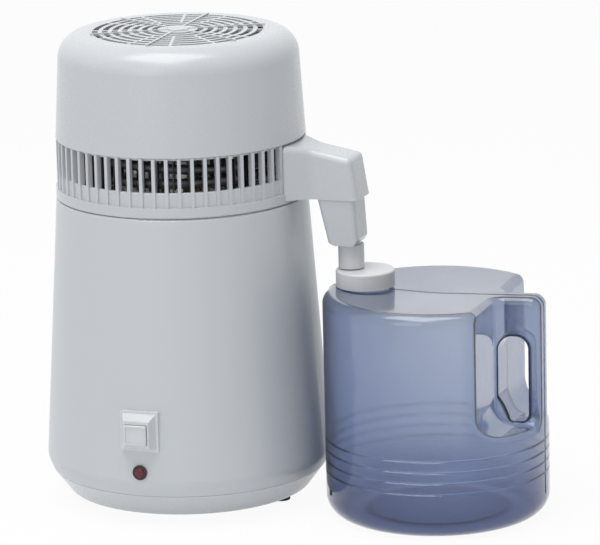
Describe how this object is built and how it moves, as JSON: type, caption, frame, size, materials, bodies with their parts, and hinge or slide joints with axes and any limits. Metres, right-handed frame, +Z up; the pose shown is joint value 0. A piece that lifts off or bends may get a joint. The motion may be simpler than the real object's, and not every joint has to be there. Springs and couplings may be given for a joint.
{
  "type": "counter-top water distiller",
  "caption": "White counter-top water distiller: boiling base, fan-cooled condenser head with a spout arm and filter cup, and a tinted collecting jug with a pinched handle.",
  "frame": {"origin": "on the table, under the axis of the boiling pot", "axes": "+Z up, +X from the pot's axis along the spout arm to the jug, -Y out of the push button"},
  "size_m": [0.4202, 0.2429, 0.3879],
  "materials": {
    "white_enamel": "gloss",
    "white_plastic": "satin",
    "black_rubber": "matte",
    "zinc_steel": "satin",
    "stainless": "satin",
    "fin_aluminium": "matte",
    "element_sheath": "matte",
    "black_plastic": "satin",
    "contact_brass": "satin",
    "bezel_plastic": "gloss",
    "dark_red_plastic": "gloss",
    "red_lens": "gloss",
    "silicone": "matte",
    "grey_plastic": "satin",
    "filter_fabric": "matte",
    "clear_tube": "gloss",
    "tinted_plastic": "gloss",
    "white_cap": "satin"
  },
  "bodies": {
    "base": {"outer_casing": "white_enamel", "base_tray": "white_plastic", "rubber_feet": "black_rubber", "foot_screws": "zinc_steel", "tray_screws": "zinc_steel", "boiling_chamber": "stainless", "heater_plate": "fin_aluminium", "heating_element": "element_sheath", "heater_clamp": "zinc_steel", "heater_nut": "zinc_steel", "control_thermostat": "black_plastic", "overheat_cutout": "black_plastic", "heat_shield": "zinc_steel", "mains_inlet": "black_plastic", "mains_pins": "contact_brass", "button_bezel": "bezel_plastic", "switch_body": "black_plastic", "lamp_bezel": "dark_red_plastic", "lamp_lens": "red_lens", "lamp_body": "black_plastic"},
    "button": {"push_button": "bezel_plastic"},
    "seal": {"head_seal": "silicone"},
    "head": {"lid_plate": "stainless", "lid_nuts": "zinc_steel", "head_housing": "white_plastic", "upper_cover": "white_plastic", "cover_screws": "zinc_steel", "condenser_coil": "stainless", "condenser_fins": "fin_aluminium", "steam_fitting": "contact_brass", "fan_bracket": "zinc_steel", "fan_motor": "zinc_steel", "fan_inlet": "black_plastic", "fan_pins": "contact_brass", "filter_cup": "white_plastic", "carbon_filter": "filter_fabric", "outlet_sleeve": "clear_tube"},
    "fan": {"fan_shaft": "zinc_steel", "fan_blade": "grey_plastic"},
    "jug": {"jug_body": "tinted_plastic"},
    "cap": {"jug_cap": "white_cap"}
  },
  "joints": [
    {"name": "head_lift", "type": "slide", "parent": "base", "child": "seal", "axis": [0, 0, 1], "range_m": [0, 0.15]},
    {"name": "head_turn", "type": "hinge", "parent": "seal", "child": "head", "pos_m": [0, 0, 0.2563], "axis": [0, 0, 1], "continuous": true},
    {"name": "fan_spin", "type": "hinge", "parent": "head", "child": "fan", "pos_m": [0, 0, 0.357], "axis": [0, 0, 1], "continuous": true},
    {"name": "button_press", "type": "slide", "parent": "base", "child": "button", "axis": [0, 1, 0], "range_m": [0, 0.0025], "stiffness_N_per_m": 600, "springref_m": -0.002},
    {"name": "jug_slide", "type": "slide", "parent": "base", "child": "jug", "axis": [1, 0, 0], "range_m": [0, 0.2]},
    {"name": "cap_turn", "type": "hinge", "parent": "jug", "child": "cap", "pos_m": [0.1547, 0, 0.1905], "axis": [0, 0, 1], "range_deg": [0, 360]}
  ]
}
